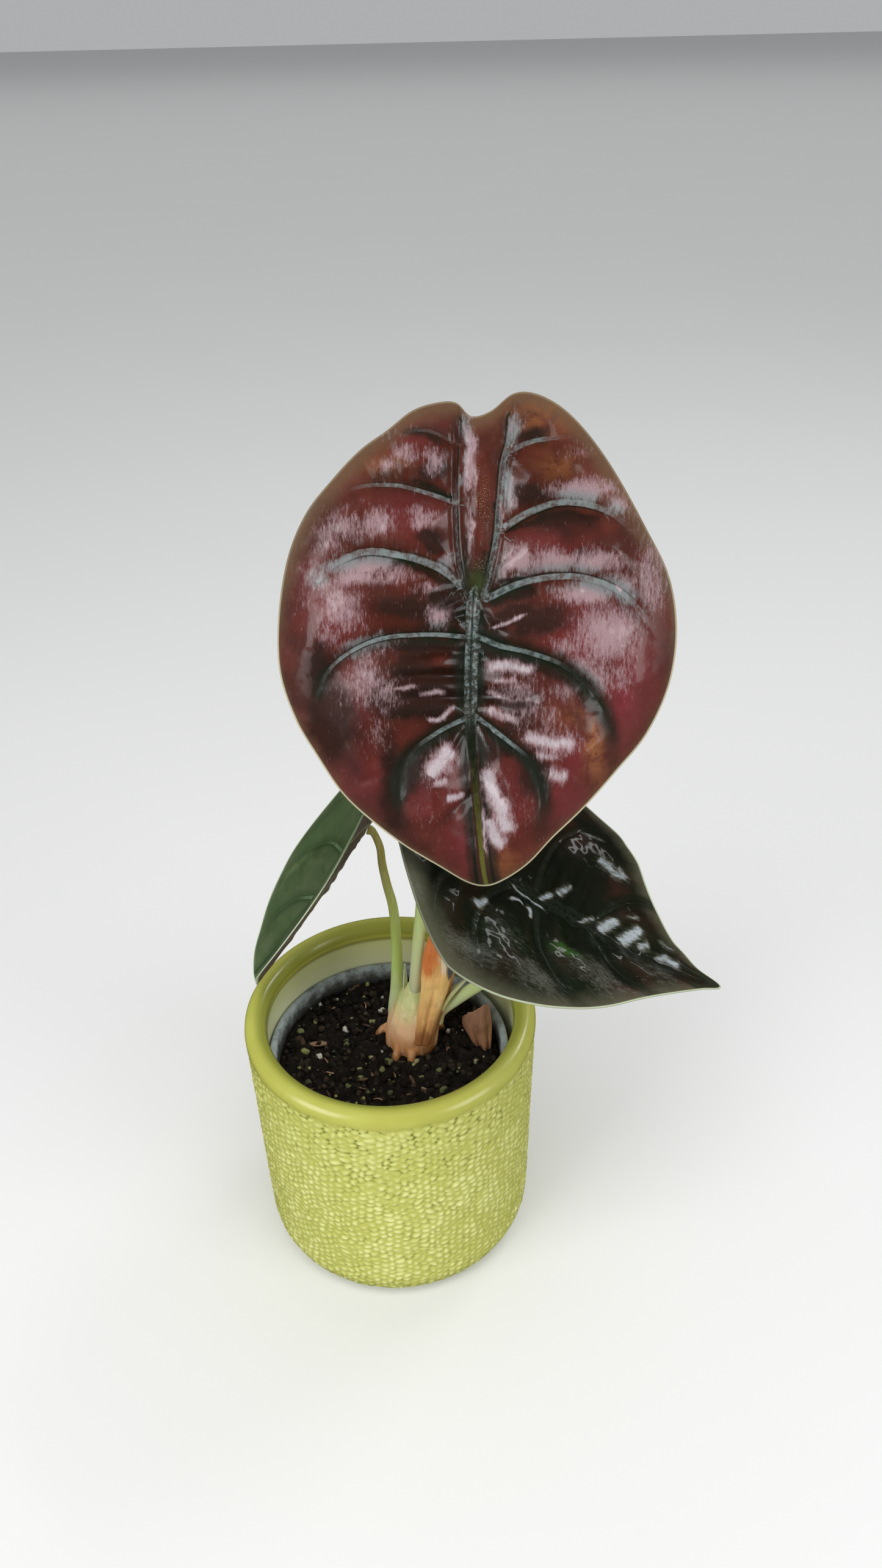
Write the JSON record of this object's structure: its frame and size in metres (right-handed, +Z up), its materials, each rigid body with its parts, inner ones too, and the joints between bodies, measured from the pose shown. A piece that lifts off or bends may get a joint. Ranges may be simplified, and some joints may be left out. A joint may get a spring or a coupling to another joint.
{
  "type": "potted red secret alocasia",
  "caption": "Potted aroid with glossy copper-red hanging leaves, papery sheaths and potting mix, in a nursery pot inside a knobbled green glazed cachepot.",
  "frame": {"origin": "centre of the cachepot's flat underside, on the surface that it stands on", "axes": "+Z up along the cachepot's axis; the largest leaf faces -Y"},
  "size_m": [0.1895, 0.1726, 0.3997],
  "materials": {
    "green_glaze": "semi-gloss lime-green glaze, pale on the knobs and olive in the recesses",
    "pale_plastic": "satin, thin and slightly clouded",
    "potting_mix": "damp crumbs with pale mineral grains",
    "stem_skin": "satin, pinkish tan",
    "leaf_stalk": "satin, pale green and slightly clear",
    "copper_blade": "high gloss, copper red with dark green veins",
    "dark_blade": "high gloss, black-green",
    "green_blade": "satin, mid green",
    "papery_sheath": "dry and fibrous, orange to ochre",
    "fresh_sheath": "satin, pale grey-green",
    "dry_sheath": "dry and wrinkled, brown"
  },
  "bodies": {
    "root": {"cachepot": "green_glaze", "nursery_pot": "pale_plastic", "soil": "potting_mix", "stem_base": "stem_skin", "petiole_front": "leaf_stalk", "petiole_right": "leaf_stalk", "petiole_left": "leaf_stalk", "blade_front": "copper_blade", "blade_right": "dark_blade", "blade_left": "green_blade", "sheath_papery": "papery_sheath", "sheath_green": "fresh_sheath", "sheath_pale": "fresh_sheath", "sheath_dry": "dry_sheath"}
  },
  "joints": []
}
